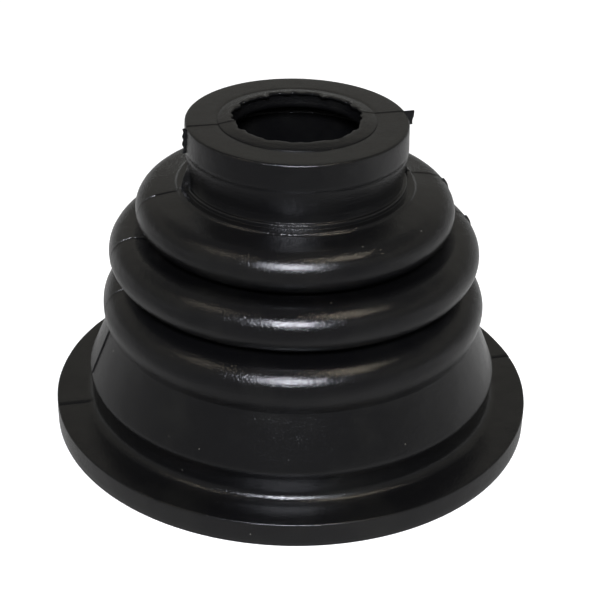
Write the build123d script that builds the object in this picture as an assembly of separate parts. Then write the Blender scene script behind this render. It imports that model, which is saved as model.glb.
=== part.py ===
from build123d import *

import math
import os
from dataclasses import dataclass

# Moulded rubber bellows boot that seals a lever where it passes through a floor or a housing.
# Millimetres, +Z up the lever, the flange rests on Z = 0 and the round parts share the Z axis.
# The mould parts on the XZ plane, so its flash stands on the +X and -X sides.

# ---- Walls -----------------------------------------------------------------------------------
bellows_wall = 2.4  # folds and skirt, square to the skin
collar_wall = 2.6
base_wall = 2.8  # round the opening in the base
lip_thickness = 2.4  # plate across the top that grips the lever, measured outside its raised ring

# ---- Flange, and the skirt above it ----------------------------------------------------------
flange_radius = 55.0
flange_thickness = 5.5
flange_edge_radius = 0.25
flange_root_fillet = 2.1
skirt_rim_radius = 46.95  # outermost line of the rolled rim
skirt_rim_height = 12.4
skirt_rim_section = 2.8
neck_undercut = 0.65  # how far the neck under the rim stands back from it
crease_section = 0.3
crease_turn = 26.0  # degrees round the lowest fold, from its crest down to the crease
short_straight = 0.16  # left between two rounds that would otherwise just touch

# ---- Folds: each crest stands in by a step from the line below it ------------------------------
lower_fold_step = 3.65  # in from the skirt's rim
lower_fold_height = 29.0
lower_fold_section = 5.5
lower_fold_underside = 9.0  # its underside is flatter than its top
middle_fold_step = 1.75  # in from the lower fold's crest
middle_fold_rise = 12.85  # from the lower fold's centre to the middle one's
middle_fold_section = 5.15
upper_fold_step = 6.21
upper_fold_rise = 10.05
upper_fold_section = 4.84
valley_section = 0.7
upper_valley_depth = 6.6  # from the upper fold's crest in to the root of the groove
lower_valley_depth = 8.0

# ---- Collar, from its stepped foot up to the top face --------------------------------------------
collar_foot_rise = 0.66  # from the upper fold's crown up to the foot
foot_step_width = 3.3
foot_step_height = 0.55
foot_ring_width = 0.8
foot_ring_height = 0.7
waist_radius = 23.6
waist_length = 4.85
flare_width = 0.75
flare_length = 1.9
flare_drop = 0.9  # straight between the flare and the witness line above it
band_length = 5.9  # from the witness line up to the top face
band_taper = 0.4
lip_edge_radius = 0.3
inner_foot_fillet = 2.0

# ---- Bore, the raised ring round it and the bead inside the collar --------------------------------
bore_radius = 13.3
trim_depth = 0.8  # deepest bite of the knife outside the bore
trim_drop = 1.1  # the bites fade out this far below the bore's upper edge
trim_cuts = 46
trim_waves = (11, 17, 5)  # bites that run into each other, counted round the bore
lip_ring_width = 3.9
lip_ring_step = 0.12  # step at the foot of the ring
lip_ring_slope = 9.9  # degrees, rising towards the bore
bead_drop = 4.2  # from the lip's underside to the middle of the bead
bead_width = 1.3
bead_depth = 0.5

# ---- Where the two halves of the mould met -------------------------------------------------------
half_mismatch = 0.12  # the half of the boot on the +Y side stands this much higher
flash_thickness = 0.3
flash_height = 0.2
collar_fin_height = 0.45
collar_fin_length = 5.2
collar_fin_drop = 0.4
spur_height = 0.7
spur_length = 3.4
web_reach = 2.4  # web in the corner between the collar and the upper fold
web_rise = 6.0
web_fullness = 0.75  # reach of the web at half its rise

# ---- Worked out from the sizes above -------------------------------------------------------------
cut_margin = 1.0  # every cutter runs this far past the faces it goes through
lower_crest_radius = skirt_rim_radius - lower_fold_step
middle_crest_radius = lower_crest_radius - middle_fold_step
upper_crest_radius = middle_crest_radius - upper_fold_step
middle_fold_height = lower_fold_height + middle_fold_rise
upper_fold_height = middle_fold_height + upper_fold_rise
foot_z = upper_fold_height + upper_fold_section + collar_foot_rise
foot_ring_z = foot_z + foot_step_height
waist_z = foot_ring_z + foot_ring_height
flare_z = waist_z + waist_length
flare_top_z = flare_z + flare_length
witness_z = flare_top_z + flare_drop
top_z = witness_z + band_length
lip_underside_z = top_z - lip_thickness
witness_radius = waist_radius + flare_width
lip_radius = witness_radius - band_taper
collar_bore_radius = waist_radius - collar_wall
neck_radius = skirt_rim_radius - neck_undercut
base_opening_radius = neck_radius - base_wall
lip_ring_radius = bore_radius + lip_ring_width
lip_ring_z = top_z + lip_ring_step
bore_edge_z = lip_ring_z + lip_ring_width * math.tan(math.radians(lip_ring_slope))


@dataclass(frozen=True)
class Roll:
    """A round stretch of a section: a bulge where section > 0, a hollow where it is < 0."""

    r: float
    z: float
    section: float = 0.0

    def point(self, facing):
        """The point of the roll whose outward normal has this angle."""
        return (self.r + self.section * math.cos(facing), self.z + self.section * math.sin(facing))

    def inset(self, wall):
        """The same roll on the inside of a wall."""
        return Roll(self.r, self.z, self.section - wall)


def facing_between(start, end):
    """Angle of the outward normal on the straight that touches both rolls."""
    along = math.atan2(end.z - start.z, end.r - start.r)
    length = math.hypot(end.r - start.r, end.z - start.z)
    return along + math.acos((start.section - end.section) / length)


def roll_arc(roll, arriving, leaving):
    """The arc of a roll between two normals: bulges turn clockwise, hollows the other way."""
    turn = (leaving - arriving) % math.tau
    if roll.section > 0:
        turn -= math.tau
    return ThreePointArc(roll.point(arriving), roll.point(arriving + turn / 2), roll.point(leaving))


def skin(rolls):
    """Edges of a skin from its top to its bottom: arcs on the rolls and straights between them."""
    facings = [facing_between(start, end) for start, end in zip(rolls, rolls[1:])]
    edges = []
    for index, facing in enumerate(facings):
        start, end = rolls[index], rolls[index + 1]
        if index and start.section:
            edges.append(roll_arc(start, facings[index - 1], facing))
        edges.append(Line(start.point(facing), end.point(facing)))
    return edges


def section(rolls):
    """The face between the Z axis and a skin."""
    first, last = rolls[0], rolls[-1]
    outline = [
        *skin(rolls),
        Line((last.r, last.z), (0, last.z)),
        Line((0, last.z), (0, first.z)),
        Line((0, first.z), (first.r, first.z)),
    ]
    return Plane.XZ * make_face(outline)


# ---- Rolls of the bellows and the skirt, which the outside and the inside share --------------------
def fold(crest_radius, height, fold_section):
    """A fold whose outermost line has the given radius."""
    return Roll(crest_radius - fold_section, height, fold_section)


def valley_under(above, depth):
    """The root of the groove that runs in level along a fold's underside."""
    root_radius = above.r + above.section - depth
    level = above.z - above.section
    return Roll(root_radius + valley_section, level - valley_section, -valley_section)


upper = fold(upper_crest_radius, upper_fold_height, upper_fold_section)
middle = fold(middle_crest_radius, middle_fold_height, middle_fold_section)
lower = fold(lower_crest_radius, lower_fold_height, lower_fold_section)
underside = fold(lower_crest_radius, lower_fold_height - short_straight, lower_fold_underside)
crease_reach = Roll(underside.r, underside.z, underside.section + crease_section + short_straight)
crease = Roll(*crease_reach.point(math.radians(-crease_turn)), -crease_section)
rim = fold(skirt_rim_radius, skirt_rim_height, skirt_rim_section)
bellows = [
    upper,
    valley_under(upper, upper_valley_depth),
    middle,
    valley_under(middle, lower_valley_depth),
    lower,
    underside,
    crease,
]


def outside():
    """The boot as a solid plug: top face, collar, folds, skirt and flange."""
    top = [
        Roll(bore_radius, bore_edge_z),
        Roll(lip_ring_radius, lip_ring_z),
        Roll(lip_ring_radius, top_z),
        Roll(lip_radius - lip_edge_radius, top_z - lip_edge_radius, lip_edge_radius),
    ]
    collar = [
        Roll(witness_radius, witness_z),
        Roll(witness_radius, flare_top_z),
        Roll(waist_radius, flare_z),
        Roll(waist_radius, waist_z),
        Roll(waist_radius + foot_ring_width, waist_z),
        Roll(waist_radius + foot_ring_width, foot_ring_z),
        Roll(waist_radius + foot_step_width, foot_ring_z),
        Roll(waist_radius + foot_step_width, foot_z),
    ]
    rim_side = rim.section - neck_undercut
    neck_top_z = rim.z - math.sqrt(rim.section**2 - rim_side**2) - short_straight
    root_z = flange_thickness + flange_root_fillet
    edge_z = flange_thickness - flange_edge_radius
    flange = [
        Roll(neck_radius, neck_top_z),
        Roll(neck_radius + flange_root_fillet, root_z, -flange_root_fillet),
        Roll(flange_radius - flange_edge_radius, edge_z, flange_edge_radius),
        Roll(flange_radius, -cut_margin),
    ]
    rolls = [*top, *collar, *bellows, rim, *flange]
    return revolve(section(rolls), Axis.Z)


def hollow():
    """The space inside the boot, open at the base: under the lip, up the collar and into each fold."""
    crown = upper.inset(bellows_wall)
    bead_z = lip_underside_z - bead_drop
    collar = [
        Roll(collar_bore_radius, lip_underside_z),
        Roll(collar_bore_radius, bead_z + bead_width / 2),
        Roll(collar_bore_radius - bead_depth, bead_z),
        Roll(collar_bore_radius, bead_z - bead_width / 2),
        Roll(
            collar_bore_radius + inner_foot_fillet,
            crown.z + crown.section + inner_foot_fillet,
            -inner_foot_fillet,
        ),
    ]
    skirt_foot = Roll(*rim.inset(bellows_wall).point(facing_between(crease, rim)))
    base = [Roll(base_opening_radius, rim.z - rim.section), Roll(base_opening_radius, -cut_margin)]
    folds = [roll.inset(bellows_wall) for roll in bellows]
    return revolve(section([*collar, *folds, skirt_foot, *base]), Axis.Z)


def mould_halves():
    """The outside as it left the mould, with the half on the +Y side a little higher."""
    plug = outside()
    near = split(plug, bisect_by=Plane.XZ, keep=Keep.TOP)
    far = split(plug, bisect_by=Plane.XZ, keep=Keep.BOTTOM)
    far = Pos(0, 0, half_mismatch) * far
    below = Pos(0, 0, -cut_margin) * Cylinder(
        flange_radius + cut_margin, cut_margin, align=(Align.CENTER, Align.CENTER, Align.MIN)
    )
    return near + far - below


def flash_plate(face):
    """A face in the parting plane as thin flash, half on each side of the plane."""
    return extrude(face, flash_thickness / 2, both=True)


def parting_flash():
    """The thin ridge that follows the folds and the skirt on both sides of the boot."""
    proud = [roll.inset(-flash_height) for roll in [*bellows, rim]]
    ridge = section([Roll(waist_radius, foot_z), *proud, Roll(neck_radius, rim.z - rim.section)])
    flange_ridge = Plane.XZ * Polyline(
        (0, 0),
        (flange_radius, 0),
        (flange_radius, flange_thickness),
        (flange_radius - flash_height, flange_thickness + flash_height),
        (0, flange_thickness + flash_height),
        close=True,
    )
    right = flash_plate(ridge) + flash_plate(make_face(flange_ridge))
    return right + mirror(right, Plane.YZ)


def collar_flash():
    """The fin and the web on the collar's -X side, and the torn spur and the web on its +X side."""
    web_outline = [
        Line((0, foot_z), (waist_radius + web_reach, foot_z)),
        ThreePointArc(
            (waist_radius + web_reach, foot_z),
            (waist_radius + web_reach * web_fullness, foot_z + web_rise / 2),
            (waist_radius, foot_z + web_rise),
        ),
        Line((waist_radius, foot_z + web_rise), (0, foot_z + web_rise)),
        Line((0, foot_z + web_rise), (0, foot_z)),
    ]
    web = flash_plate(Plane.XZ * make_face(web_outline))
    fin_top_z = top_z - collar_fin_drop
    fin_reach = witness_radius + collar_fin_height
    fin = Pos(-fin_reach / 2, 0, fin_top_z - collar_fin_length / 2) * Box(
        fin_reach, flash_thickness, collar_fin_length
    )
    spur_reach = lip_radius + spur_height
    spur = Pos(spur_reach / 2, 0, top_z + flash_height - spur_length / 2) * Box(
        spur_reach, flash_thickness, spur_length
    )
    return web + mirror(web, Plane.YZ) + fin + spur


def bore():
    """The hole for the lever: a clean round wall with a bitten edge above it."""
    wall_length = bore_edge_z - lip_underside_z
    clean = Cylinder(bore_radius, wall_length + 2 * cut_margin)
    clean = Pos(0, 0, lip_underside_z + wall_length / 2) * clean
    bites = []
    for cut in range(trim_cuts):
        turn = math.tau * cut / trim_cuts
        wave = sum(math.sin(count * (turn + 1)) for count in trim_waves) / len(trim_waves)
        reach = bore_radius + trim_depth * (1 + wave) / 2
        bites.append((reach * math.cos(turn), reach * math.sin(turn)))
    bitten = extrude(make_face(Polyline(*bites, close=True)), trim_drop + cut_margin)
    return clean + Pos(0, 0, bore_edge_z - trim_drop) * bitten


def boot():
    """The whole moulding: one solid of rubber."""
    return mould_halves() + parting_flash() + collar_flash() - hollow() - bore()


os.makedirs("parts", exist_ok=True)
export_step(boot(), "parts/boot.step")
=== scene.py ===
"""Looks of a moulded rubber bellows boot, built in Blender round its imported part.

The boot is modelled in millimetres on its own axis and brought down to metres when it is done.
Its section is drawn once, spun round the axis, parted along the mould's plane and then trimmed.
"""

import logging
import math
from collections.abc import Callable, Iterator
from contextlib import contextmanager
from dataclasses import dataclass
from enum import Enum

import bmesh
import bpy
from mathutils import Matrix, Vector


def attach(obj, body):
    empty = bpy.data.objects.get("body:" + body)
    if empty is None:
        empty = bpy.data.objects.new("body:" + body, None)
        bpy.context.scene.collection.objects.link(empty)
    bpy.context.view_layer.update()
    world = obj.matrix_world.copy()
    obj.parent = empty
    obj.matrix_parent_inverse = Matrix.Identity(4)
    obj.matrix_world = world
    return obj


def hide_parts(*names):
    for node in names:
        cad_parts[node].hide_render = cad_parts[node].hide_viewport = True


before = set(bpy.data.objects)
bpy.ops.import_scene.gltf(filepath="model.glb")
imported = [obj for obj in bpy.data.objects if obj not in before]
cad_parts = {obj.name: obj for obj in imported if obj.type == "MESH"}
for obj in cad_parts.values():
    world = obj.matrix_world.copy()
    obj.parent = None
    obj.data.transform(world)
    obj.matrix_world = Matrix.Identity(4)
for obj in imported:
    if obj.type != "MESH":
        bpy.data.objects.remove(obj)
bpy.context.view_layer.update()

LOG = logging.getLogger("boot")
MM = 0.001
CLOSE = 0.002  # two places this near, in a mesh's own units, are one
PLANE = 1.0  # side of the plane that each piece starts from
SHADE_RADIUS = 0.05  # of the painted shade on the floor under the boot, where the glow of the floor and of the boards is cut, in metres
Point = tuple[float, float]
Test = Callable[[Vector], bool]


class Side(Enum):
    """The two ends of the parting plane, as the sign of X."""

    LEFT = -1
    RIGHT = 1


# ---- Bench: selecting and shaping a mesh in edit mode ---------------------------------------------
def start_piece(name: str) -> bpy.types.Object:
    """Adds a plane at the origin with nothing else selected, and names it.

    Args:
        name: The piece's name.

    Returns:
        The new mesh object.
    """
    bpy.ops.object.select_all(action="DESELECT")
    bpy.ops.mesh.primitive_plane_add(size=PLANE, location=(0, 0, 0))
    piece = bpy.context.view_layer.objects.active
    piece.name = piece.data.name = name
    return piece


def select_only(piece: bpy.types.Object) -> None:
    """Makes a piece the only selected object, and the active one."""
    bpy.ops.object.select_all(action="DESELECT")
    bpy.context.view_layer.objects.active = piece
    piece.select_set(True)


@contextmanager
def editing(piece: bpy.types.Object, mode: str = "VERT") -> Iterator[None]:
    """Holds a piece in edit mode for the length of a with block.

    Args:
        piece: The mesh object to edit.
        mode: The select mode, "VERT", "EDGE" or "FACE".
    """
    select_only(piece)
    bpy.ops.object.mode_set(mode="EDIT")
    bpy.ops.mesh.select_mode(type=mode)
    try:
        yield
    finally:
        bpy.ops.object.mode_set(mode="OBJECT")


def pick_verts(piece: bpy.types.Object, wanted: Test, group: str = "") -> None:
    """Selects the shown vertices whose place passes a test, and deselects the rest.

    Args:
        piece: The mesh object in edit mode.
        wanted: Test of a vertex's place.
        group: Only vertices of this vertex group, or of any if empty.
    """
    mesh = bmesh.from_edit_mesh(piece.data)
    layer = mesh.verts.layers.deform.verify()
    index = piece.vertex_groups[group].index if group else -1
    for vert in mesh.verts:
        in_group = index < 0 or index in vert[layer]
        vert.select = not vert.hide and in_group and wanted(vert.co)
    mesh.select_flush_mode()
    bmesh.update_edit_mesh(piece.data, loop_triangles=False, destructive=False)


def pick_faces(piece: bpy.types.Object, wanted: Test, group: str) -> None:
    """Selects the faces whose centre passes a test, and deselects the rest.

    Args:
        piece: The mesh object in edit mode.
        wanted: Test of the place of a face's centre.
        group: Only faces with all their vertices in this vertex group.
    """
    bpy.ops.mesh.select_mode(type="FACE")
    mesh = bmesh.from_edit_mesh(piece.data)
    layer = mesh.verts.layers.deform.verify()
    index = piece.vertex_groups[group].index
    for face in mesh.faces:
        face.select_set(False)
    for face in mesh.faces:
        in_group = all(index in vert[layer] for vert in face.verts)
        if in_group and wanted(face.calc_center_median()):
            face.select_set(True)
    bmesh.update_edit_mesh(piece.data, loop_triangles=False, destructive=False)


def move(offset: tuple[float, float, float]) -> None:
    """Moves what is selected by an offset, in the mesh's own units."""
    bpy.ops.transform.translate(value=offset)


def at_end(side: Side, half: float, low: float, high: float) -> Test:
    """Makes a test for places at one end of the parting plane.

    Args:
        side: Which end.
        half: How far from the plane they may be.
        low: Height above which they are.
        high: Height below which they are.

    Returns:
        The test.
    """
    return lambda co: abs(co.y) < half and co.x * side.value > 0 and low < co.z < high


def pull_out(
    piece: bpy.types.Object, side: Side, target: Callable[[float], float], share: float = 1.0
) -> None:
    """Pulls the selected vertices out along X, level by level, towards a target radius.

    Args:
        piece: The mesh object in edit mode.
        side: Which end of the parting plane they are at.
        target: Radius to reach at a height.
        share: How much of the way they go.
    """
    mesh = bmesh.from_edit_mesh(piece.data)
    levels = {(round(v.co.x, 3), round(v.co.z, 3)) for v in mesh.verts if v.select}
    for x, z in sorted(levels):
        gap = share * (target(z) - abs(x))
        if gap > 0:
            pick_verts(piece, lambda co: abs(co.x - x) < CLOSE and abs(co.z - z) < CLOSE)
            move((side.value * gap, 0, 0))


def name_group(piece: bpy.types.Object, name: str, indices: set[int]) -> None:
    """Puts vertices into a new vertex group.

    Args:
        piece: The mesh object in edit mode.
        name: The group's name.
        indices: The vertices' numbers.
    """
    mesh = bmesh.from_edit_mesh(piece.data)
    for vert in mesh.verts:
        vert.select = vert.index in indices
    mesh.select_flush_mode()
    bmesh.update_edit_mesh(piece.data)
    bpy.ops.object.vertex_group_add()
    piece.vertex_groups.active.name = name
    bpy.ops.object.vertex_group_assign()


# ---- Section: a closed chain of round stretches with straights that touch them ----------------------
@dataclass(frozen=True)
class Roll:
    """A round stretch of the section: a bulge where bend > 0, a hollow where it is < 0."""

    r: float
    z: float
    bend: float = 0.0

    def at(self, facing: float) -> Point:
        """The point of the roll whose surface faces this angle."""
        return (self.r + self.bend * math.cos(facing), self.z + self.bend * math.sin(facing))

    def inside(self, wall: float) -> "Roll":
        """The same roll on the inner face of a wall, walked the other way."""
        return Roll(self.r, self.z, wall - self.bend)


def facing_between(start: Roll, end: Roll) -> float:
    """Angle that the straight between two rolls faces, in radians.

    Args:
        start: The roll that the straight leaves.
        end: The roll that it reaches.

    Returns:
        The angle of the straight's normal, on the open side of the rubber.
    """
    along = math.atan2(end.z - start.z, end.r - start.r)
    length = math.hypot(end.r - start.r, end.z - start.z)
    return along + math.acos((start.bend - end.bend) / length)


def crest(radius: float, height: float, bend: float) -> Roll:
    """A bulge whose outermost line has the given radius."""
    return Roll(radius - bend, height, bend)


@dataclass(frozen=True)
class Stretch:
    """A named run of rolls, sampled finely or coarsely."""

    name: str
    rolls: tuple[Roll, ...]
    turn: float  # degrees of a round to each facet
    reach: float  # longest straight facet, in millimetres


def trace(stretches: list[Stretch]) -> tuple[list[Point], dict[str, set[int]]]:
    """Samples the closed chain of all the stretches.

    Args:
        stretches: The runs in order round the section, with the rubber on their right.

    Returns:
        The points, and the numbers of the points of each named stretch.
    """
    chain = [(roll, stretch) for stretch in stretches for roll in stretch.rolls]
    points: list[Point] = []
    named: dict[str, set[int]] = {stretch.name: set() for stretch in stretches}
    for index, (roll, stretch) in enumerate(chain):
        before, after = chain[index - 1][0], chain[(index + 1) % len(chain)][0]
        arriving, leaving = facing_between(before, roll), facing_between(roll, after)
        first = len(points)
        if roll.bend:
            turn = (leaving - arriving) % math.tau
            turn -= math.tau if roll.bend > 0 else 0.0
            facets = max(1, math.ceil(abs(math.degrees(turn)) / stretch.turn))
            points += [roll.at(arriving + turn * step / facets) for step in range(facets + 1)]
        else:
            points.append(roll.at(leaving))
        start, end = Vector(roll.at(leaving)), Vector(after.at(leaving))
        facets = max(1, math.ceil((end - start).length / stretch.reach))
        points += [tuple(start.lerp(end, step / facets)) for step in range(1, facets)]
        named[stretch.name].update(range(first, len(points)))
    return points, named


# ---- The boot's sub-assemblies, each with its own sizes in millimetres ------------------------------
@dataclass(frozen=True)
class Flange:
    """The flat round plate that the boot stands on."""

    radius: float = 54.97
    thickness: float = 5.5
    edge_round: float = 0.35
    foot_round: float = 0.2
    root_fillet: float = 2.1
    opening: float = 43.5

    def outer(self, neck_radius: float, neck_top: float) -> Stretch:
        """The neck, the root fillet, the top and the edge.

        Args:
            neck_radius: Radius of the neck that rises from the flange.
            neck_top: Height at which the rim's underside meets the neck.
        """
        edge = self.edge_round
        fillet = self.root_fillet
        return Stretch(
            "flange",
            (
                Roll(neck_radius, neck_top),
                Roll(neck_radius + fillet, self.thickness + fillet, -fillet),
                Roll(self.radius - edge, self.thickness - edge, edge),
            ),
            turn=11.0,
            reach=2.2,
        )

    def base(self) -> Stretch:
        """The underside, from the outer foot to the opening."""
        foot = self.foot_round
        return Stretch(
            "base",
            (
                Roll(self.radius - foot, foot, foot),
                Roll(self.opening + foot, foot, foot),
            ),
            turn=45.0,
            reach=4.0,
        )


@dataclass(frozen=True)
class Skirt:
    """The cone between the lowest fold and the flange, with its rolled rim."""

    rim_radius: float = 46.95
    rim_height: float = 12.4
    rim_bend: float = 2.8
    neck_undercut: float = 0.65
    crease_bend: float = 0.15
    crease_turn: float = 29.0
    short_straight: float = 0.1

    @property
    def rim(self) -> Roll:
        """The rolled rim at the skirt's foot."""
        return crest(self.rim_radius, self.rim_height, self.rim_bend)

    @property
    def neck_radius(self) -> float:
        """Radius of the neck under the rim."""
        return self.rim_radius - self.neck_undercut

    @property
    def neck_top(self) -> float:
        """Height at which the rim's underside meets the neck."""
        side = self.rim_bend - self.neck_undercut
        return self.rim_height - math.sqrt(self.rim_bend**2 - side**2) - self.short_straight

    def crease(self, underside: Roll) -> Roll:
        """The sharp hollow where the lowest fold turns into the skirt."""
        reach = Roll(underside.r, underside.z, underside.bend + self.crease_bend + self.short_straight)
        return Roll(*reach.at(math.radians(-self.crease_turn)), -self.crease_bend)

    def inner_foot(self, underside: Roll, wall: float) -> Roll:
        """The foot of the skirt's flat inner face."""
        facing = facing_between(self.crease(underside), self.rim)
        return Roll(*Roll(self.rim.r, self.rim.z, self.rim.bend - wall).at(facing))


@dataclass(frozen=True)
class Bellows:
    """The three folds and the grooves between them."""

    wall: float = 2.4
    lower: Roll = crest(43.3, 29.0, 5.5)
    lower_underside: Roll = crest(43.3, 28.84, 9.0)
    middle: Roll = crest(41.55, 41.85, 5.15)
    upper: Roll = crest(35.34, 51.9, 4.84)
    valley_bend: float = 0.7
    upper_valley_depth: float = 6.6
    lower_valley_depth: float = 8.0

    def valley(self, above: Roll, depth: float) -> Roll:
        """The root of the groove under a fold."""
        root = above.r + above.bend - depth
        level = above.z - above.bend
        return Roll(root + self.valley_bend, level - self.valley_bend, -self.valley_bend)

    def rolls(self) -> tuple[Roll, ...]:
        """The folds and grooves from the top one down."""
        return (
            self.upper,
            self.valley(self.upper, self.upper_valley_depth),
            self.middle,
            self.valley(self.middle, self.lower_valley_depth),
            self.lower,
            self.lower_underside,
        )


@dataclass(frozen=True)
class Collar:
    """The cylinder on top, from its stepped foot up to the lip that grips the lever."""

    # foot: a step with a small ring on it, and a groove between them
    foot_rise: float = 0.66
    step_width: float = 2.73  # to the middle of its slope
    step_height: float = 0.62
    step_round: float = 0.64
    short_straight: float = 0.003  # between the two rounds of the step
    groove_depth: float = 0.14
    foot_ring_width: float = 0.8
    foot_ring_height: float = 0.85
    foot_ring_round: float = 0.27
    corner_round: float = 0.12
    # waist, flare and band
    waist_radius: float = 23.6
    waist_length: float = 1.6
    flare_width: float = 0.85
    flare_length: float = 5.0
    flare_bend: float = 1.5
    flare_drop: float = 0.9  # straight between the flare and the witness line
    witness_line: float = 0.16
    band_length: float = 5.9
    band_taper: float = 0.2
    edge_round: float = 0.5
    # inside, with a bead round it
    wall: float = 2.6
    inner_fillet: float = 2.0
    inner_corner: float = 0.4
    lip_thickness: float = 2.4
    bead_drop: float = 4.7
    bead_depth: float = 0.22
    bead_round: float = 0.3
    # lip, with a raised ring that climbs to the bore's edge
    bore: float = 13.3
    bore_edge: float = 0.16
    bite_width: float = 1.1  # facets round the edge that the knife's bites take in
    edge_drop: float = 0.04  # how far the edge stands below the ring's slope
    ring_foot: float = 17.2
    ring_round: float = 0.05
    ring_step: float = 0.09
    ring_slope: float = 9.9
    ring_draft: float = 0.01
    ring_groove: float = 0.3  # width of the groove along the ring's foot
    # the bore's wall, which stands back behind the edge that the knife trimmed
    trim: float = 0.3  # how far the knife opened the edge on average
    trim_depth: float = 0.6
    wall_recess: float = 1.2
    wall_top: float = 0.75  # below the edge
    wall_foot: float = 1.5  # above the lip's underside
    wall_bead: float = 1.0
    wall_swell: float = 0.38  # how far the bead along its foot comes out again
    wall_drop: float = 0.9  # how far that bead hangs below the lip

    def foot_z(self, bellows: Bellows) -> float:
        """Height of the foot above the upper fold."""
        return bellows.upper.z + bellows.upper.bend + self.foot_rise

    def top_z(self, bellows: Bellows) -> float:
        """Height of the flat top face."""
        foot = self.step_height + self.foot_ring_height + self.waist_length
        return self.foot_z(bellows) + foot + self.flare_length + self.flare_drop + self.band_length

    def bore_edge_z(self, bellows: Bellows) -> float:
        """Height of the bore's upper edge, on top of the raised ring."""
        climb = (self.ring_foot - self.bore) * math.tan(math.radians(self.ring_slope))
        return self.top_z(bellows) + self.ring_step + climb

    def lip(self, bellows: Bellows) -> Stretch:
        """The raised ring round the bore, with one more ring of facets for the knife's bites."""
        top, foot = self.top_z(bellows), self.ring_foot
        edge, ring = self.bore_edge, self.ring_round
        fall = math.tan(math.radians(self.ring_slope))
        bite = self.bore + self.bite_width
        rim = self.bore_edge_z(bellows) - (bite - self.bore) * fall
        return Stretch(
            "lip",
            (
                Roll(self.bore + self.trim + edge, rim - self.edge_drop - edge, edge),
                Roll(bite, rim),
                Roll(foot - ring, top + self.ring_step - ring, ring),
                Roll(foot + self.ring_draft, top - self.ring_step),
                Roll(foot + self.ring_groove, top),
            ),
            turn=45.0,
            reach=1.4,
        )

    def outer(self, bellows: Bellows) -> Stretch:
        """The top's edge, the band, the waist and the stepped foot."""
        top, foot = self.top_z(bellows), self.foot_z(bellows)
        line = top - self.band_length
        flare = line - self.flare_drop
        band = self.waist_radius + self.flare_width
        nick, edge, bend = self.witness_line, self.edge_round, self.flare_bend
        ring, step, corner = self.foot_ring_round, self.step_round, self.corner_round
        step_z = foot + self.step_height
        ring_z = step_z + self.foot_ring_height
        ring_r = self.waist_radius + self.foot_ring_width
        step_r = self.waist_radius + self.step_width
        half_step = math.sqrt(self.step_height * (step - self.step_height / 4))
        half_step += self.short_straight
        return Stretch(
            "collar",
            (
                Roll(band - self.band_taper - edge, top - edge, edge),
                Roll(band, line + nick),
                Roll(band - nick, line - nick),
                Roll(band - nick - bend, flare, bend),
                Roll(self.waist_radius + bend, flare - self.flare_length, -bend),
                Roll(self.waist_radius + corner, ring_z + corner, -corner),
                Roll(ring_r - ring, ring_z - ring, ring),
                Roll(ring_r + corner, step_z - self.groove_depth + corner, -corner),
                Roll(step_r - half_step, step_z - step, step),
                Roll(step_r + half_step, foot + step, -step),
            ),
            turn=18.0,
            reach=0.95,
        )

    def inner(self, bellows: Bellows) -> Stretch:
        """The inside, from the upper fold's crown up to the lip and in to the bore."""
        crown = bellows.upper
        radius = self.waist_radius - self.wall
        under = self.top_z(bellows) - self.lip_thickness
        fillet, bead, corner = self.inner_fillet, self.bead_round, self.inner_corner
        crown_z = crown.z + crown.bend - bellows.wall
        bead_z = under - self.bead_drop
        return Stretch(
            "collar_inside",
            (
                Roll(radius + fillet, crown_z + fillet, fillet),
                Roll(radius, bead_z - 2 * bead),
                Roll(radius - self.bead_depth + bead, bead_z, bead),
                Roll(radius, bead_z + 2 * bead),
                Roll(radius - corner, under - corner, -corner),
            ),
            turn=22.5,
            reach=1.2,
        )

    def bore_wall(self, bellows: Bellows) -> Stretch:
        """The bore's wall, with a soft bulge along its lower edge."""
        under = self.top_z(bellows) - self.lip_thickness
        edge = self.bore_edge_z(bellows)
        bulge, wall = self.wall_bead, self.bore + self.wall_recess
        rim = self.bore + self.trim
        return Stretch(
            "bore",
            (
                Roll(wall - self.wall_swell + bulge, under + bulge - self.wall_drop, bulge),
                Roll(wall, under + self.wall_foot),
                Roll(wall, edge - self.wall_top),
                Roll(rim, edge - self.trim_depth),
            ),
            turn=20.0,
            reach=2.0,
        )


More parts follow.
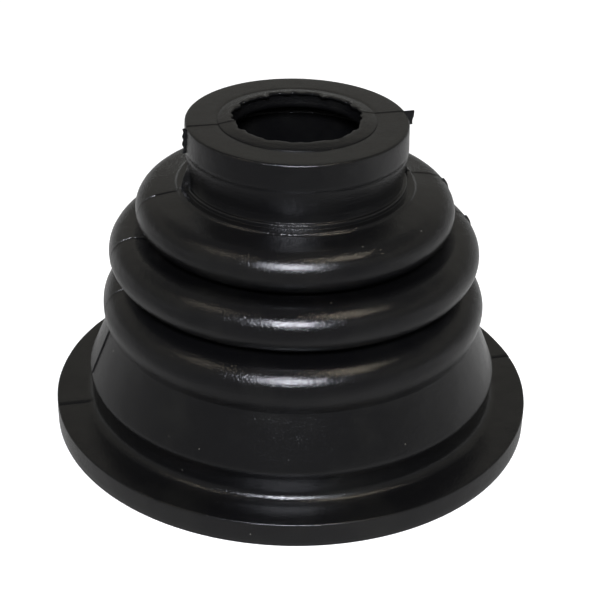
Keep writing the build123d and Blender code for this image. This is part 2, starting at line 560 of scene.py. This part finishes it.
@dataclass(frozen=True)
class Seam:
    """Where the mould's halves met: a step, a thin ridge, and torn flash on the collar."""

    width: float = 0.3
    middle: float = 0.09  # the strip's faces have their centres this near its middle
    mismatch: float = 0.1
    still: float = 1.0  # the far half keeps its foot on the floor up to here
    ridge: float = 0.012
    ridge_crown: float = 0.45  # share of the strip's width that the ridge's crown keeps
    ragged: float = 0.05
    flash_edge: float = 0.6  # share of the strip's width that the torn edge keeps
    torn: float = 0.08
    web_reach: float = 1.9
    web_start: float = 0.05  # above the corner of the collar's foot
    web_rise: float = 6.0
    web_fullness: float = 0.75
    web_swell: float = 0.82  # share of the web's reach that its thick root makes up
    web_root: float = 1.1  # width of that root
    fin_reach: float = 25.1
    fin_top: float = 71.9
    fin_length: float = 5.5
    fin_waves: tuple[Point, Point] = ((0.3, 1.7), (0.06, 6.1))  # depth, and radians to 1 mm
    spur_reach: float = 26.35
    spur_length: float = 3.2
    spur_over: float = 0.2  # its span takes in the top's edge
    spur_gap: Point = (70.4, 71.0)
    spur_gap_depth: float = 0.5
    spur_foot_depth: float = 0.28
    tabs: tuple[tuple[Side, float, float, float], ...] = (
        (Side.RIGHT, 52.6, 55.2, 0.4),
        (Side.RIGHT, 42.5, 45.2, 0.4),
        (Side.RIGHT, 30.0, 32.0, 0.35),
        (Side.LEFT, 14.0, 24.5, 0.2),
    )  # side, lowest and highest point, and height of the torn flash below the collar

    def part(self, piece: bpy.types.Object) -> None:
        """Cuts a strip along the parting plane and lifts the far half a little."""
        half = self.width / 2
        with editing(piece, "EDGE"):
            for offset in (-half, half):
                bpy.ops.mesh.select_all(action="SELECT")
                bpy.ops.mesh.bisect(plane_co=(0, offset, 0), plane_no=(0, 1, 0), threshold=1e-4)
            bpy.ops.mesh.select_mode(type="VERT")
            for group in ("lip", "collar", "bellows", "flange"):
                pick_verts(piece, lambda co: co.y > half - CLOSE and co.z > self.still, group)
                move((0, 0, self.mismatch))

    def raise_ridge(self, piece: bpy.types.Object, part: Test, height: float, seed: int) -> None:
        """Draws the strip down the folds and the skirt out into a thin uneven ridge.

        Args:
            piece: The boot.
            part: Test of a place for the part of the strip that is drawn out.
            height: How far the ridge stands proud.
            seed: Seed of its unevenness.
        """
        with editing(piece, "FACE"):
            pick_faces(piece, part, "bellows")
            bpy.ops.mesh.extrude_region_shrink_fatten(
                TRANSFORM_OT_shrink_fatten={"value": height}
            )
            bpy.ops.transform.resize(value=(1, self.ridge_crown, 1))
            ragged = min(self.ragged, height / 2)
            bpy.ops.transform.vertex_random(offset=ragged, normal=1.0, seed=seed)

    def web_at(self, height: float, foot: float) -> float:
        """How far the web reaches out of the waist at a height."""
        share = (height - foot) / self.web_rise
        if not 0 <= share <= 1:
            return 0.0
        bow = 4 * (self.web_fullness - 0.5) * share * (1 - share)
        return self.web_reach * (1 - share + bow)

    def fin_at(self, height: float) -> float:
        """Radius that the fin reaches at a height."""
        (bow, bow_turn), (tear, tear_turn) = self.fin_waves
        bowed = self.fin_reach - bow * math.sin(bow_turn * height) ** 2
        return bowed + tear * math.sin(tear_turn * height)

    def spur_at(self, height: float) -> float:
        """Radius that the spur reaches at a height."""
        low, high = self.spur_gap
        if height > high:
            return self.spur_reach
        return self.spur_reach - (self.spur_gap_depth if height > low else self.spur_foot_depth)

    def swell(self, piece: bpy.types.Object, side: Side, foot: float, waist: float) -> None:
        """Thickens the root of a web in the corner of the collar's foot.

        Args:
            piece: The boot.
            side: Which end of the parting plane.
            foot: Height of the corner.
            waist: Radius that the web grows from.
        """
        low, high = foot + self.web_start, foot + self.web_rise
        with editing(piece):
            pick_verts(piece, at_end(side, self.web_root / 2, low, high), "collar")
            bpy.ops.mesh.hide(unselected=True)
            pull_out(piece, side, lambda z: waist + self.web_at(z, foot), self.web_swell)
            bpy.ops.mesh.reveal(select=False)

    def pull(
        self,
        piece: bpy.types.Object,
        side: Side,
        span: Point,
        target: Callable[[float], float],
        seed: int,
    ) -> None:
        """Pulls the strip on the collar's side out to a target radius.

        Args:
            piece: The boot.
            side: Which end of the parting plane.
            span: Lowest and highest point of the strip that is pulled.
            target: Radius to reach at a height.
            seed: Seed of the torn edge.
        """
        with editing(piece, "FACE"):
            pick_faces(piece, at_end(side, self.width / 2, *span), "collar")
            bpy.ops.mesh.extrude_region_move()
            bpy.ops.mesh.select_mode(type="VERT")
            bpy.ops.mesh.hide(unselected=True)
            pull_out(piece, side, target)
            bpy.ops.mesh.select_all(action="SELECT")
            bpy.ops.transform.resize(value=(1, self.flash_edge, 1))
            bpy.ops.transform.vertex_random(offset=self.torn, normal=0.0, seed=seed)
            bpy.ops.mesh.reveal(select=False)


@dataclass(frozen=True)
class Knife:
    """The trimmed edge of the bore: bites of uneven depth that run into each other."""

    cuts: int = 120
    depth: float = 1.3
    start: float = 0.1  # share of the depth that every bite has
    drop: float = 0.7  # the bites end this far below the edge
    margin: float = 0.1  # beyond the edge's round
    far_side: float = 0.33  # how much deeper the bites are at the back, as a share
    waves: tuple[tuple[int, float, float], ...] = (
        (2, 0.20, 2.1),
        (5, 0.16, 0.7),
        (11, 0.22, 1.9),
        (19, 0.24, 0.4),
        (31, 0.20, 2.6),
    )  # bites to the round, share of the depth, and where they begin
    slip: tuple[float, float, float] = (-65.0, 3.0, 0.9)  # turn, half width in degrees, depth
    softness: float = 0.15

    def bite(self, turn: float) -> float:
        """Depth of the bite at an angle round the bore."""
        wave = sum(share * math.sin(count * turn + start) for count, share, start in self.waves)
        at, half, extra = self.slip
        off = (math.degrees(turn) - at + 180) % 360 - 180
        wave *= 1 - self.far_side * (1 - math.sin(turn))
        return self.depth * (self.start + wave) + (extra if abs(off) < half else 0.0)

    def trim(self, piece: bpy.types.Object, collar: Collar, bellows: Bellows) -> None:
        """Pushes the bore's upper edge out, bite by bite, and rounds the steps between them."""
        edge = collar.bore_edge_z(bellows)
        near = collar.bore + collar.trim + collar.bore_edge + self.margin
        fall = math.tan(math.radians(collar.ring_slope))
        sector = math.tau / self.cuts

        def on_wall(co: Vector) -> bool:
            """Whether a place is on the bore's trimmed wall or its edge."""
            return co.z > edge - self.drop and math.hypot(co.x, co.y) < near

        with editing(piece):
            pick_verts(piece, on_wall)
            bpy.ops.mesh.hide(unselected=True)
            for cut in range(self.cuts):
                turn = sector * cut

                def in_bite(co: Vector) -> bool:
                    """Whether a place lies within this bite's sector."""
                    off = (math.atan2(co.y, co.x) - turn + math.pi) % math.tau - math.pi
                    return -sector / 2 < off <= sector / 2

                depth = self.bite(turn)
                pick_verts(piece, in_bite)
                move((depth * math.cos(turn), depth * math.sin(turn), -depth * fall))
            bpy.ops.mesh.select_all(action="SELECT")
            bpy.ops.mesh.vertices_smooth(factor=self.softness)
            bpy.ops.mesh.reveal(select=False)


@dataclass(frozen=True)
class Boot:
    """The whole moulding."""

    flange: Flange = Flange()
    skirt: Skirt = Skirt()
    bellows: Bellows = Bellows()
    collar: Collar = Collar()
    seam: Seam = Seam()
    knife: Knife = Knife()
    spin_steps: int = 240
    wobbles: tuple[Point, ...] = ((0.16, 19.0), (0.09, 7.0))  # height and size
    smooth_angle: float = 38.0  # edges that turn by more than this many degrees stay sharp

    def stretches(self) -> list[Stretch]:
        """The section's runs, from the bore's edge round to the bore's wall."""
        bellows, skirt = self.bellows, self.skirt
        underside = bellows.lower_underside
        folds = (*bellows.rolls(), skirt.crease(underside))
        inner_folds = tuple(roll.inside(bellows.wall) for roll in reversed(folds))
        opening = Roll(self.flange.opening, skirt.rim_height - skirt.rim_bend)
        return [
            self.collar.lip(bellows),
            self.collar.outer(bellows),
            Stretch("bellows", (*folds, skirt.rim), turn=7.5, reach=2.0),
            self.flange.outer(skirt.neck_radius, skirt.neck_top),
            self.flange.base(),
            Stretch(
                "inside",
                (opening, skirt.inner_foot(underside, bellows.wall), *inner_folds),
                turn=15.0,
                reach=4.0,
            ),
            self.collar.inner(bellows),
            self.collar.bore_wall(bellows),
        ]

    def draw_section(self, piece: bpy.types.Object) -> None:
        """Draws the closed section in the XZ plane, point by point, and names its stretches."""
        points, named = trace(self.stretches())
        with editing(piece):
            bpy.ops.mesh.merge(type="CENTER")
            move((points[0][0], 0, points[0][1]))
            for (r0, z0), (r1, z1) in zip(points, points[1:]):
                bpy.ops.mesh.extrude_region_move(
                    TRANSFORM_OT_translate={"value": (r1 - r0, 0, z1 - z0)}
                )
            mesh = bmesh.from_edit_mesh(piece.data)
            mesh.verts.ensure_lookup_table()
            ends = {0, len(mesh.verts) - 1}
            for vert in mesh.verts:
                vert.select = vert.index in ends
            mesh.select_flush_mode()
            bpy.ops.mesh.edge_face_add()
            for name, indices in named.items():
                name_group(piece, name, indices)
        LOG.info("section: %d points", len(points))

    def spin(self, piece: bpy.types.Object) -> None:
        """Spins the section into the whole boot."""
        with editing(piece):
            bpy.ops.mesh.select_all(action="SELECT")
            bpy.ops.mesh.spin(
                steps=self.spin_steps, angle=math.tau, center=(0, 0, 0), axis=(0, 0, 1)
            )
            bpy.ops.mesh.select_all(action="SELECT")
            bpy.ops.mesh.remove_doubles(threshold=CLOSE)
            bpy.ops.mesh.normals_make_consistent(inside=False)

    def flash(self, piece: bpy.types.Object) -> None:
        """Adds what the mould's halves left along the parting plane."""
        seam, foot = self.seam, self.collar.foot_z(self.bellows)
        waist = self.collar.waist_radius
        seam.part(piece)
        web_span = (foot + seam.web_start, foot + seam.web_rise)
        for side, seed in ((Side.LEFT, 3), (Side.RIGHT, 4)):
            seam.swell(piece, side, foot, waist)
            seam.pull(piece, side, web_span, lambda z: waist + seam.web_at(z, foot), seed)
        fin_span = (seam.fin_top - seam.fin_length, seam.fin_top)
        seam.pull(piece, Side.LEFT, fin_span, seam.fin_at, 5)
        top = self.collar.top_z(self.bellows)
        spur_span = (top - seam.spur_length, top + seam.spur_over)
        seam.pull(piece, Side.RIGHT, spur_span, seam.spur_at, 6)
        for seed, (side, low, high, height) in enumerate(seam.tabs, start=7):
            seam.raise_ridge(piece, at_end(side, seam.middle, low, high), height, seed)
        seam.raise_ridge(piece, lambda co: abs(co.y) < seam.middle, seam.ridge, 1)

    def soften(self, piece: bpy.types.Object) -> None:
        """Gives the folds and the flange the unevenness of soft rubber, and applies it."""
        select_only(piece)
        for group in ("bellows", "flange"):
            for height, size in self.wobbles:
                shapes = bpy.data.textures.new("rubber_unevenness", "CLOUDS")
                shapes.noise_scale = size * MM
                shapes.noise_depth = 1
                displace = piece.modifiers.new("unevenness", "DISPLACE")
                displace.texture = shapes
                displace.texture_coords = "LOCAL"
                displace.strength = height * MM
                displace.mid_level = 0.5
                displace.vertex_group = group
                bpy.ops.object.modifier_apply(modifier=displace.name)

    def build(self) -> bpy.types.Object:
        """Models the boot.

        Returns:
            The finished mesh object, in metres at the origin.
        """
        piece = start_piece("rubber_boot")
        self.draw_section(piece)
        self.spin(piece)
        self.flash(piece)
        self.knife.trim(piece, self.collar, self.bellows)
        piece.scale = (MM, MM, MM)
        select_only(piece)
        bpy.ops.object.transform_apply(location=False, rotation=False, scale=True)
        self.soften(piece)
        bpy.ops.object.shade_smooth_by_angle(angle=math.radians(self.smooth_angle))
        LOG.info("%s: %d faces", piece.name, len(piece.data.polygons))
        return piece


# ---- Finishes ---------------------------------------------------------------------------------------
def linear(code: str) -> tuple[float, float, float, float]:
    """Turns an sRGB hex colour into Blender's linear one.

    Args:
        code: Six hex digits.

    Returns:
        Red, green, blue and alpha.
    """
    parts = (int(code[at : at + 2], 16) / 255 for at in (0, 2, 4))
    red, green, blue = (c / 12.92 if c <= 0.04045 else ((c + 0.055) / 1.055) ** 2.4 for c in parts)
    return (red, green, blue, 1.0)


def add_node(
    tree: bpy.types.NodeTree, kind: str, settings: dict | None = None, links: dict | None = None
) -> bpy.types.Node:
    """Adds a node with its settings and links.

    Args:
        tree: The node tree.
        kind: The node's type, such as "ShaderNodeBump".
        settings: Values by property or socket name, or by socket number.
        links: Outputs by the name or number of the socket that they feed.

    Returns:
        The new node.
    """
    node = tree.nodes.new(kind)
    for name, value in (settings or {}).items():
        if isinstance(name, str) and hasattr(node, name):
            setattr(node, name, value)
        else:
            node.inputs[name].default_value = value
    for name, output in (links or {}).items():
        tree.links.new(output, node.inputs[name])
    return node


def fill_ramp(ramp: bpy.types.ColorRamp, stops: list[tuple[float, tuple]]) -> None:
    """Sets all the stops of a colour ramp.

    Args:
        ramp: The ramp, with its two first stops.
        stops: Places along it from 0 to 1, and linear colours.
    """
    for index, (place, colour) in enumerate(stops):
        element = ramp.elements[index] if index < 2 else ramp.elements.new(place)
        element.position, element.color = place, colour


def maths(
    tree: bpy.types.NodeTree,
    operation: str,
    first: bpy.types.NodeSocket,
    second: bpy.types.NodeSocket | float,
) -> bpy.types.NodeSocket:
    """Adds a maths node.

    Args:
        tree: The node tree.
        operation: What it does, such as "MAXIMUM".
        first: Its first value.
        second: Its second value, an output or a number.

    Returns:
        The node's result.
    """
    node = add_node(tree, "ShaderNodeMath", {"operation": operation}, {0: first})
    if isinstance(second, float):
        node.inputs[1].default_value = second
    else:
        tree.links.new(second, node.inputs[1])
    return node.outputs[0]


def spread(
    tree: bpy.types.NodeTree,
    value: bpy.types.NodeSocket,
    source: Point,
    result: Point = (0.0, 1.0),
) -> bpy.types.NodeSocket:
    """Spreads a range of a value over another range.

    Args:
        tree: The node tree.
        value: The value.
        source: Its lowest and highest level that count.
        result: What those two become.

    Returns:
        The spread value.
    """
    ends = {"From Min": source[0], "From Max": source[1], "To Min": result[0], "To Max": result[1]}
    return add_node(tree, "ShaderNodeMapRange", ends, {"Value": value}).outputs["Result"]


def outside(tree: bpy.types.NodeTree, place: bpy.types.NodeSocket) -> bpy.types.NodeSocket:
    """A mask that is 1 on the floor round the boot and 0 under it, where cutting the glow paints the
    shade inside the boot.

    Args:
        tree: The node tree.
        place: A place on the floor, from the boot's axis.

    Returns:
        The mask.
    """
    away = add_node(tree, "ShaderNodeVectorMath", {"operation": "LENGTH"}, {0: place})
    return maths(tree, "GREATER_THAN", away.outputs["Value"], SHADE_RADIUS)


def new_tree(name: str) -> tuple[bpy.types.Material, bpy.types.NodeTree]:
    """Makes an empty material and returns it with its node tree."""
    material = bpy.data.materials.new(name)
    material.use_nodes = True
    material.node_tree.nodes.clear()
    return material, material.node_tree


@dataclass(frozen=True)
class MouldedRubber:
    """Carbon-black rubber, compression moulded in an eroded steel mould.

    It gives the eye a near-black colour with a soft sheen, which the mould's fine grain breaks
    into sparkle, and here and there a paler bloom and a fleck of dust.
    """

    colour: str = "0d0d0e"
    bloom: str = "161615"
    dust: str = "7c7972"
    roughness: Point = (0.12, 0.18)
    ior: float = 1.5
    grain_mm: float = 0.4  # the real grain is finer, and is drawn this coarse to show
    grain_depth_mm: float = 0.09
    ripple_mm: float = 4.2
    ripple_depth_mm: float = 0.075
    patch_mm: float = 14.0
    sheen_patches: Point = (0.35, 0.65)  # levels of the patches between glossiest and dullest
    bloom_patches: Point = (0.5, 0.75)  # and between clean and full bloom
    noise_roughness: float = 0.55
    dust_cell_mm: float = 6.0
    dust_size_mm: float = 0.13

    def make(self) -> bpy.types.Material:
        """Builds the material."""
        material, tree = new_tree("moulded_black_rubber")
        place = add_node(tree, "ShaderNodeTexCoord").outputs["Object"]

        def noise(size_mm: float, detail: float) -> bpy.types.NodeSocket:
            """A noise pattern whose features are about this many millimetres wide."""
            settings = {
                "Scale": 1 / (size_mm * MM),
                "Detail": detail,
                "Roughness": self.noise_roughness,
            }
            node = add_node(tree, "ShaderNodeTexNoise", settings, {"Vector": place})
            return node.outputs["Fac"]

        grain = noise(self.grain_mm, 2.0)
        patches = noise(self.patch_mm, 3.0)
        ripple = noise(self.ripple_mm, 1.0)
        low = add_node(
            tree,
            "ShaderNodeBump",
            {"Strength": 1.0, "Distance": self.ripple_depth_mm * MM},
            {"Height": ripple},
        )
        bump = add_node(
            tree,
            "ShaderNodeBump",
            {"Strength": 1.0, "Distance": self.grain_depth_mm * MM},
            {"Height": grain, "Normal": low.outputs["Normal"]},
        )
        skin = add_node(
            tree,
            "ShaderNodeMix",
            {"data_type": "RGBA", 6: linear(self.colour), 7: linear(self.bloom)},
            {0: spread(tree, patches, self.bloom_patches)},
        )
        cells = add_node(
            tree,
            "ShaderNodeTexVoronoi",
            {"Scale": 1 / (self.dust_cell_mm * MM), "Randomness": 1.0},
            {"Vector": place},
        )
        dust_share = self.dust_size_mm / self.dust_cell_mm
        fleck = maths(tree, "LESS_THAN", cells.outputs["Distance"], dust_share)
        colour = add_node(
            tree,
            "ShaderNodeMix",
            {"data_type": "RGBA", 7: linear(self.dust)},
            {0: fleck, 6: skin.outputs[2]},
        )
        shader = add_node(
            tree,
            "ShaderNodeBsdfPrincipled",
            {"IOR": self.ior},
            {
                "Base Color": colour.outputs[2],
                "Roughness": spread(tree, patches, self.sheen_patches, self.roughness),
                "Normal": bump.outputs["Normal"],
            },
        )
        add_node(tree, "ShaderNodeOutputMaterial", links={"Surface": shader.outputs["BSDF"]})
        return material


@dataclass(frozen=True)
class SeamlessPaper:
    """Matt white paper that the boot stands on, bright to the camera and in reflections."""

    colour: str = "dcdcdc"
    glow: float = 0.74

    def make(self) -> bpy.types.Material:
        """Builds the material."""
        material, tree = new_tree("seamless_white_paper")
        path = add_node(tree, "ShaderNodeLightPath").outputs
        seen = maths(tree, "MAXIMUM", path["Is Camera Ray"], path["Is Glossy Ray"])
        seen = maths(tree, "MAXIMUM", seen, path["Is Transmission Ray"])
        place = add_node(tree, "ShaderNodeTexCoord").outputs["Object"]
        # no glow under the boot: painted shade inside the boot
        seen = maths(tree, "MULTIPLY", seen, outside(tree, place))
        glow = maths(tree, "MULTIPLY", seen, self.glow)
        paper = add_node(tree, "ShaderNodeBsdfDiffuse", {"Color": linear(self.colour)})
        light = add_node(tree, "ShaderNodeEmission", links={"Strength": glow})
        both = add_node(
            tree, "ShaderNodeAddShader", links={0: paper.outputs[0], 1: light.outputs[0]}
        )
        add_node(tree, "ShaderNodeOutputMaterial", links={"Surface": both.outputs[0]})
        return material


# ---- Studio -----------------------------------------------------------------------------------------
@dataclass(frozen=True)
class Lamp:
    """A soft box that faces the boot, placed by its angle from the camera's own direction."""

    name: str
    turn: float  # degrees round the boot from the camera, to the right
    rise: float  # degrees above the floor
    distance: float
    width: float
    height: float
    power: float
    colour: str

    def place(self, target: Vector, heading: float) -> bpy.types.Object:
        """Adds the lamp.

        Args:
            target: What it faces, in metres.
            heading: The camera's own turn round the boot, in radians.

        Returns:
            The lamp object.
        """
        around, up = heading + math.radians(self.turn), math.radians(self.rise)
        away = Vector(
            (math.sin(around) * math.cos(up), -math.cos(around) * math.cos(up), math.sin(up))
        )
        bpy.ops.object.light_add(type="AREA", location=target + away * self.distance)
        lamp = bpy.context.view_layer.objects.active
        lamp.name = lamp.data.name = self.name
        lamp.rotation_euler = away.to_track_quat("Z", "Y").to_euler()
        lamp.data.shape = "RECTANGLE"
        lamp.data.size, lamp.data.size_y = self.width, self.height
        lamp.data.energy = self.power
        lamp.data.color = linear(self.colour)[:3]
        return lamp


@dataclass(frozen=True)
class PaintedReflection:
    """Painted reflection for the boot's sheen on a glowing board, lightest just behind the boot and
    darker towards the camera as painted shade; levels are by millimetres along its lean.
    """

    levels: tuple[Point, ...] = (
        (-350, 0.28),
        (-120, 0.46),
        (-50, 0.52),
        (-10, 0.34),
        (20, 0.36),
        (55, 0.38),
        (85, 0.24),
        (220, 0.18),
    )
    reach_mm: float = 400.0
    lean: float = math.radians(-20.0)  # the darker end, the painted shade, is turned this far from the camera

    def make(self, heading: float) -> bpy.types.Material:
        """Builds the material.

        Args:
            heading: The camera's own turn round the boot, in radians.

        Returns:
            The material.
        """
        turn = heading + self.lean
        front = (math.sin(turn), -math.cos(turn), 0)
        material, tree = new_tree("painted_reflection_board")
        place = add_node(tree, "ShaderNodeTexCoord").outputs["Object"]
        away = add_node(
            tree, "ShaderNodeVectorMath", {"operation": "DOT_PRODUCT", 1: front}, {0: place}
        )
        reach = self.reach_mm * MM
        share = spread(tree, away.outputs["Value"], (-reach, reach))
        shade = add_node(tree, "ShaderNodeValToRGB", links={"Fac": share})
        fill_ramp(
            shade.color_ramp,
            [((mm / self.reach_mm + 1) / 2, (level,) * 3 + (1.0,)) for mm, level in self.levels],
        )
        # no glow under the boot: painted shade inside the boot
        # the board glows at these levels: painted reflection and painted shade, not a lamp
        glow = add_node(
            tree,
            "ShaderNodeEmission",
            links={"Color": shade.outputs["Color"], "Strength": outside(tree, place)},
        )
        add_node(tree, "ShaderNodeOutputMaterial", links={"Surface": glow.outputs[0]})
        return material


@dataclass(frozen=True)
class PaintedReflectionBoard:
    """A glowing board that only the boot's sheen sees, which paints the reflections of what lies round
    the boot.
    """

    name: str
    near: float  # distances of its two edges from the boot's axis, towards the camera
    far: float
    foot: float  # heights of those edges
    top: float
    width: float

    def place(self, heading: float, finish: bpy.types.Material) -> None:
        """Adds the card.

        Args:
            heading: The camera's own turn round the boot, in radians.
            finish: The card's material.
        """
        card = start_piece(self.name)
        half = PLANE / 2
        with editing(card):
            pick_verts(card, lambda co: co.y > 0)
            move((0, -self.near - half, self.foot))
            pick_verts(card, lambda co: abs(co.y + half) < CLOSE)
            move((0, half - self.far, self.top))
            bpy.ops.mesh.select_all(action="SELECT")
            bpy.ops.transform.resize(value=(self.width, 1, 1), center_override=(0, 0, 0))
            bpy.ops.transform.rotate(value=-heading, orient_axis="Z", center_override=(0, 0, 0))
        card.data.materials.append(finish)
        # seen only in reflections, where it stands in for the floor or the room: painted reflection
        for ray in ("camera", "diffuse", "transmission", "shadow"):
            setattr(card, f"visible_{ray}", False)


@dataclass(frozen=True)
class Studio:
    """Floor, lamps, surroundings and camera."""

    heading: float = math.radians(-14.0)
    elevation: float = math.radians(29.61)
    roll: float = math.radians(1.47)
    distance: float = 0.3363
    target: tuple[float, float, float] = (0.00159, 0.0, 0.0275)
    lens: float = 87.58
    sensor: float = 36.0
    clip: Point = (0.01, 50.0)
    floor_size: float = 6.0
    floor_drop: float = 0.00005
    lamps: tuple[Lamp, ...] = (
        Lamp("key_softbox", -2.0, 38.0, 0.7, 0.32, 0.13, 2.1, "e8eeff"),
        Lamp("key_core", 0.0, 38.5, 0.68, 0.11, 0.10, 3.0, "f6f8ff"),
        Lamp("left_tube", -66.0, 53.0, 0.8, 0.10, 0.04, 0.25, "fff0d8"),
        Lamp("right_tube", 54.0, 65.0, 0.8, 0.10, 0.03, 0.8, "fff0d8"),
    )
    # boards seen only in the sheen: painted reflection of the floor, and painted shade in front
    cards: tuple[PaintedReflectionBoard, ...] = (
        PaintedReflectionBoard("painted_floor_reflection", -1.1, 1.1, -0.00002, -0.00002, 2.6),
        PaintedReflectionBoard("painted_front_reflection", 1.1, 1.1, 0.0, 0.75, 3.6),
    )
    sky: tuple[tuple[float, str], ...] = (
        (0.0, "969694"),
        (0.10, "8c8c8a"),
        (0.22, "7e7e7a"),
        (0.40, "7a7874"),
        (0.49, "b6b4a9"),
        (0.58, "706e6a"),
        (0.75, "626260"),
        (1.0, "585858"),
    )  # colours from the horizon, 0, to straight overhead, 1

    def lay_floor(self) -> None:
        """Adds the paper floor just under the boot."""
        floor = start_piece("floor")
        with editing(floor):
            bpy.ops.mesh.select_all(action="SELECT")
            bpy.ops.transform.resize(value=(self.floor_size, self.floor_size, 1))
            move((0, 0, -self.floor_drop))
        floor.data.materials.append(SeamlessPaper().make())

    def light(self) -> None:
        """Adds the lamps and the surroundings."""
        for lamp in self.lamps:
            lamp.place(Vector(self.target), self.heading)
        world = bpy.data.worlds.new("studio")
        bpy.context.scene.world = world
        world.use_nodes = True
        tree = world.node_tree
        tree.nodes.clear()
        way = add_node(tree, "ShaderNodeTexCoord").outputs["Generated"]
        split = add_node(tree, "ShaderNodeSeparateXYZ", links={0: way})
        ramp = add_node(tree, "ShaderNodeValToRGB", links={"Fac": split.outputs["Z"]})
        fill_ramp(ramp.color_ramp, [(height, linear(code)) for height, code in self.sky])
        back = add_node(
            tree, "ShaderNodeBackground", {"Strength": 1.0}, {"Color": ramp.outputs["Color"]}
        )
        add_node(tree, "ShaderNodeOutputWorld", links={"Surface": back.outputs[0]})

    def shade(self) -> None:
        """Adds the boards that paint the boot's reflections of the floor and of the room in front,
        with their painted shade.
        """
        finish = PaintedReflection().make(self.heading)
        for card in self.cards:
            card.place(self.heading, finish)

    def set_camera(self) -> None:
        """Adds the camera and makes it the scene's own."""
        turn = Matrix.Rotation(self.heading, 4, "Z")
        tilt = Matrix.Rotation(math.pi / 2 - self.elevation, 4, "X")
        aim = turn @ tilt @ Matrix.Rotation(self.roll, 4, "Z")
        rise, back = math.sin(self.elevation), math.cos(self.elevation)
        eye = turn @ (Vector(self.target) + Vector((0, -back, rise)) * self.distance)
        bpy.ops.object.camera_add(location=eye, rotation=aim.to_euler())
        camera = bpy.context.view_layer.objects.active
        camera.name = "camera"
        camera.data.sensor_width, camera.data.lens = self.sensor, self.lens
        camera.data.clip_start, camera.data.clip_end = self.clip
        bpy.context.scene.camera = camera


def main() -> None:
    """Builds the boot and the studio, and logs the boot's points and faces."""
    logging.basicConfig(level=logging.INFO, format="%(name)s: %(message)s")
    bpy.context.scene.view_settings.view_transform = "Standard"
    piece = Boot().build()
    piece.data.materials.append(MouldedRubber().make())
    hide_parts("boot")
    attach(piece, "root")
    studio = Studio()
    studio.lay_floor()
    studio.light()
    studio.shade()
    studio.set_camera()


if __name__ == "__main__":
    main()
